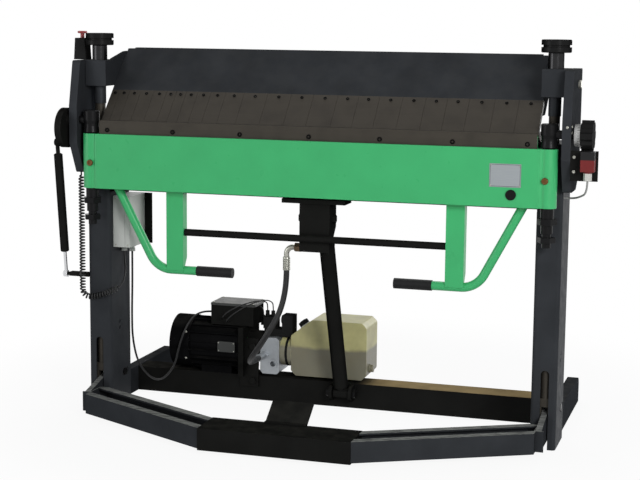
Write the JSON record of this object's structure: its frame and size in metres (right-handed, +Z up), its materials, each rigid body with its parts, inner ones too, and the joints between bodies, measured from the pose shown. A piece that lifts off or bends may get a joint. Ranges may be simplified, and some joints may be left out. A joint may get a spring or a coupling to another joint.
{
  "type": "sheet metal brake",
  "caption": "Floor-standing sheet metal brake with a swinging folding beam, segmented clamping blade, treadle and a small hydraulic clamping unit behind it.",
  "frame": {"origin": "on the floor, centre of the rear cross beam's underside", "axes": "+X to the operator's right along the blades, -Y towards the operator, +Z up; metres"},
  "size_m": [1.5625, 0.92, 1.112],
  "materials": {
    "anthracite": "satin powder coat",
    "black_paint": "satin",
    "motor_black": "gloss",
    "blade_steel": "blackened",
    "green_paint": "satin powder coat",
    "blackened_steel": "blackened",
    "grip_rubber": "matte",
    "black_plastic": "matte",
    "grey_plastic": "matte",
    "red_plastic": "gloss",
    "chromed_rod": "polished",
    "zinc_steel": "plated",
    "cast_aluminium": "satin",
    "brass": "plain",
    "tank_plastic": "translucent",
    "cable_black": "matte",
    "cable_grey": "matte"
  },
  "bodies": {
    "frame": {"column_left": "anthracite", "column_right": "anthracite", "end_plate_left": "anthracite", "end_plate_right": "anthracite", "frame_bolts": "black_paint", "rear_feet": "anthracite", "rear_cross_beam": "black_paint", "frame_pins": "blackened_steel", "lower_beam": "anthracite", "lower_blade": "blade_steel", "side_brackets": "anthracite", "estop_housing": "black_plastic", "limit_switch": "red_plastic", "electric_box": "grey_plastic", "cable_glands": "grey_plastic", "motor": "motor_black", "terminal_box": "black_paint", "pump_bracket": "black_paint", "pump_block": "cast_aluminium", "valve_block": "black_plastic", "oil_tank": "tank_plastic", "tank_fittings": "zinc_steel", "hydraulic_hose": "cable_black", "power_cables": "cable_black", "switch_cable": "cable_grey", "curly_cord": "cable_black"},
    "upper_beam": {"upper_beam": "anthracite", "upper_cover": "anthracite", "blade_segments": "blade_steel", "segment_screws": "blackened_steel", "end_blocks": "anthracite", "tie_spindles": "blade_steel", "lift_bar": "black_paint", "lift_bracket": "black_paint"},
    "knob_left": {"top_knob_left": "black_plastic"},
    "knob_right": {"top_knob_right": "black_plastic"},
    "barrel": {"cylinder_barrel": "black_paint", "cylinder_fitting": "zinc_steel"},
    "ram": {"cylinder_rod": "chromed_rod"},
    "treadle": {"treadle_pedal": "black_paint", "treadle_arms": "anthracite", "tread_plate": "black_paint"},
    "swing_heads": {"pivot_heads": "blackened_steel", "crank_disc": "black_paint", "angle_dial": "cast_aluminium"},
    "stop_knob": {"stop_knob": "black_plastic"},
    "folding_beam": {"folding_beam": "green_paint", "folding_rail": "blade_steel", "rail_screws": "blackened_steel", "beam_bolts": "brass", "rating_plate": "cast_aluminium", "beam_plug": "black_plastic", "handles": "green_paint", "handle_grips": "grip_rubber", "cross_rod": "black_paint"},
    "adjuster_left": {"adjuster_left": "blackened_steel"},
    "adjuster_right": {"adjuster_right": "blackened_steel"},
    "spring_rod": {"spring_rod": "chromed_rod"},
    "spring_tube": {"spring_tube": "black_paint"},
    "estop_button": {"estop_button": "red_plastic"}
  },
  "joints": [
    {"name": "upper_lift", "type": "slide", "parent": "frame", "child": "upper_beam", "axis": [0, 0, 1], "range_m": [0, 0.045]},
    {"name": "treadle_swing", "type": "hinge", "parent": "frame", "child": "treadle", "pos_m": [0, -0.196, 0.097], "axis": [-1, 0, 0], "range_deg": [0, 29.9]},
    {"name": "barrel_tilt", "type": "hinge", "parent": "frame", "child": "barrel", "pos_m": [0.019, -0.065, 0.05], "axis": [-1, 0, 0], "range_deg": [0, 1.5]},
    {"name": "ram_stroke", "type": "slide", "parent": "barrel", "child": "ram", "axis": [0, -0.3372, 0.9414], "range_m": [0, 0.043]},
    {"name": "knob_left_turn", "type": "hinge", "parent": "upper_beam", "child": "knob_left", "pos_m": [-0.657, -0.275, 1.09], "axis": [0, 0, 1], "range_deg": [-180, 180]},
    {"name": "knob_right_turn", "type": "hinge", "parent": "upper_beam", "child": "knob_right", "pos_m": [0.657, -0.275, 1.09], "axis": [0, 0, 1], "range_deg": [-180, 180]},
    {"name": "beam_swing", "type": "hinge", "parent": "frame", "child": "swing_heads", "pos_m": [0, -0.34, 0.862], "axis": [-1, 0, 0], "range_deg": [0, 135]},
    {"name": "beam_height", "type": "slide", "parent": "swing_heads", "child": "folding_beam", "axis": [0, 0, 1], "range_m": [-0.008, 0]},
    {"name": "adjuster_left_turn", "type": "hinge", "parent": "folding_beam", "child": "adjuster_left", "pos_m": [-0.655, -0.34, 0.634], "axis": [0, 0, 1], "range_deg": [-961, 0]},
    {"name": "adjuster_right_turn", "type": "hinge", "parent": "folding_beam", "child": "adjuster_right", "pos_m": [0.655, -0.34, 0.634], "axis": [0, 0, 1], "range_deg": [-961, 0]},
    {"name": "stop_knob_turn", "type": "hinge", "parent": "swing_heads", "child": "stop_knob", "pos_m": [0.7545, -0.34, 0.862], "axis": [1, 0, 0], "continuous": true},
    {"name": "spring_tilt", "type": "hinge", "parent": "frame", "child": "spring_rod", "pos_m": [-0.764, -0.294, 0.403], "axis": [1, 0, 0], "range_deg": [0, 7.3]},
    {"name": "spring_stroke", "type": "slide", "parent": "spring_rod", "child": "spring_tube", "axis": [0, -0.1168, 0.9932], "range_m": [0, 0.113]},
    {"name": "estop_press", "type": "slide", "parent": "frame", "child": "estop_button", "axis": [0, 0, 1], "range_m": [-0.004, 0], "stiffness_N_per_m": 1500}
  ],
  "couplings": [
    {"joint": "treadle_swing", "follows": "upper_lift", "rad_per_m": 11.558},
    {"joint": "barrel_tilt", "follows": "upper_lift", "rad_per_m": 0.53806},
    {"joint": "ram_stroke", "follows": "upper_lift", "ratio": 0.94551},
    {"joint": "adjuster_left_turn", "follows": "beam_height", "rad_per_m": 2094.4},
    {"joint": "adjuster_right_turn", "follows": "beam_height", "rad_per_m": 2094.4},
    {"joint": "spring_tilt", "follows": "beam_swing", "ratio": 0.05286},
    {"joint": "spring_stroke", "follows": "beam_swing", "m_per_rad": 0.04766}
  ]
}
